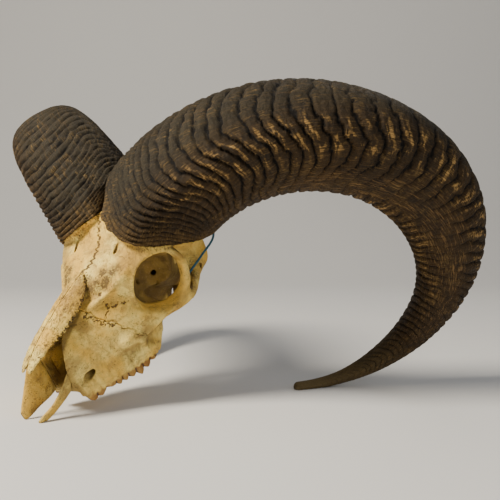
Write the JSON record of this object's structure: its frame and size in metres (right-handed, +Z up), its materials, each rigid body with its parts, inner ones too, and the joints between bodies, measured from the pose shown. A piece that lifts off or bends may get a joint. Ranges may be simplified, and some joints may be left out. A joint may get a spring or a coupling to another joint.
{
  "type": "ram skull with horns",
  "caption": "Bleached ram cranium without its lower jaw, with a pair of ridged, back-curling horn sheaths and a thin blue cord tied round it.",
  "frame": {"origin": "centre of the bounding box, at the level that the skull rests on", "axes": "+Z up, the muzzle towards -Y, the animal's left towards +X"},
  "size_m": [0.597, 0.3852, 0.3166],
  "materials": {
    "bone": "bleached, weathered bone, matt, with brown stains, pores and sutures",
    "horn": "dark brown horn with growth ridges, worn golden on the crests",
    "cord": "thin twisted blue cord"
  },
  "bodies": {
    "root": {"cranium": "bone", "upper_jaw_left": "bone", "upper_jaw_right": "bone", "nasal_left": "bone", "nasal_right": "bone", "premaxilla_left": "bone", "premaxilla_right": "bone", "horn_left": "horn", "horn_right": "horn", "tie_cord": "cord"}
  },
  "joints": []
}
